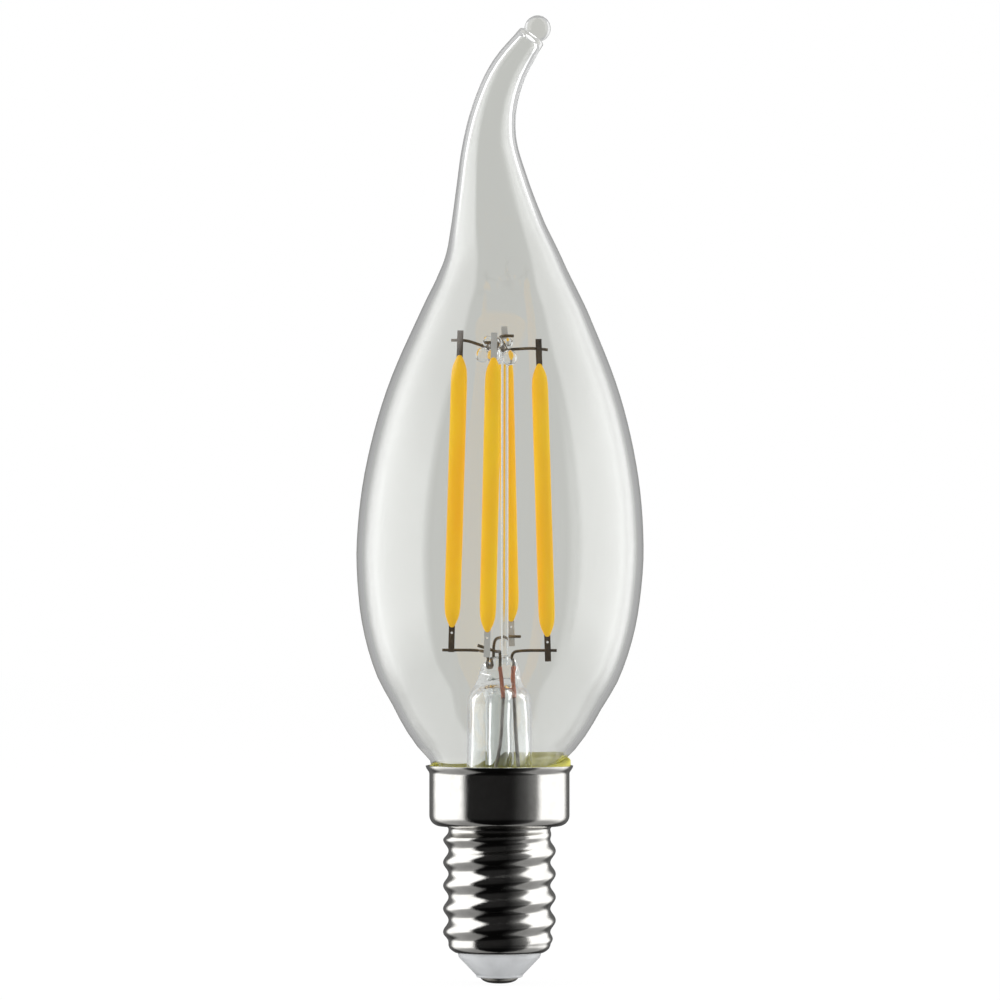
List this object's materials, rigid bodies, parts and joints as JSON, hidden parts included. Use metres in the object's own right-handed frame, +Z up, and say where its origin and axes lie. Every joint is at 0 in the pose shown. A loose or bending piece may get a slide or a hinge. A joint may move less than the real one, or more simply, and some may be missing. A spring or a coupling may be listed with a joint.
{
  "type": "candle bulb",
  "caption": "Clear candle-shaped filament bulb with a bent, drawn-out glass tail, upright filament sticks on a glass stem, and a small screw cap with a white insulator.",
  "frame": {"origin": "lowest point of the centre contact, on the axis of the cap", "axes": "+Z up along the cap's axis towards the glass tail, +X to the side that the tail's end bends to, -Y towards the viewer of the picture"},
  "size_m": [0.035, 0.035, 0.118],
  "materials": {
    "clear_glass": "clear blown glass",
    "stem_glass": "clear pressed and drawn glass",
    "phosphor_silicone": "yellow phosphor in silicone",
    "ceramic_strip": "fired ceramic",
    "chip_crystal": "polished crystal",
    "tab_metal": "tarnished plated strip",
    "support_wire": "tarnished nickel wire",
    "copper_coat": "copper-coated seal wire",
    "tinned_wire": "dull tinned wire",
    "cement": "hardened basing cement",
    "cap_metal": "bright nickel plate",
    "insulator_plastic": "white moulded insulator",
    "contact_metal": "bright nickel plate",
    "board_laminate": "circuit laminate",
    "black_package": "moulded package",
    "capacitor_sleeve": "shrunk sleeve",
    "resistor_coat": "flame-proof coat"
  },
  "bodies": {
    "root": {"glass_envelope": "clear_glass", "stem_flare": "stem_glass", "exhaust_tube": "stem_glass", "centre_rod": "stem_glass", "left_coat": "phosphor_silicone", "left_strip": "ceramic_strip", "left_chips": "chip_crystal", "left_upper_tab": "tab_metal", "left_lower_tab": "tab_metal", "front_coat": "phosphor_silicone", "front_strip": "ceramic_strip", "front_chips": "chip_crystal", "front_upper_tab": "tab_metal", "front_lower_tab": "tab_metal", "right_coat": "phosphor_silicone", "right_strip": "ceramic_strip", "right_chips": "chip_crystal", "right_upper_tab": "tab_metal", "right_lower_tab": "tab_metal", "back_coat": "phosphor_silicone", "back_strip": "ceramic_strip", "back_chips": "chip_crystal", "back_upper_tab": "tab_metal", "back_lower_tab": "tab_metal", "crown_wire_left": "support_wire", "crown_wire_right": "support_wire", "link_wire": "support_wire", "front_support_wire": "support_wire", "right_support_wire": "support_wire", "front_seal_wire": "copper_coat", "right_seal_wire": "copper_coat", "front_outer_lead": "tinned_wire", "right_outer_lead": "tinned_wire", "contact_lead": "tinned_wire", "shell_lead": "tinned_wire", "basing_cement": "cement", "cap_shell": "cap_metal", "insulator": "insulator_plastic", "centre_contact": "contact_metal", "driver_board": "board_laminate", "rectifier": "black_package", "driver_chip": "black_package", "capacitor": "capacitor_sleeve", "fusible_resistor": "resistor_coat"}
  },
  "joints": []
}
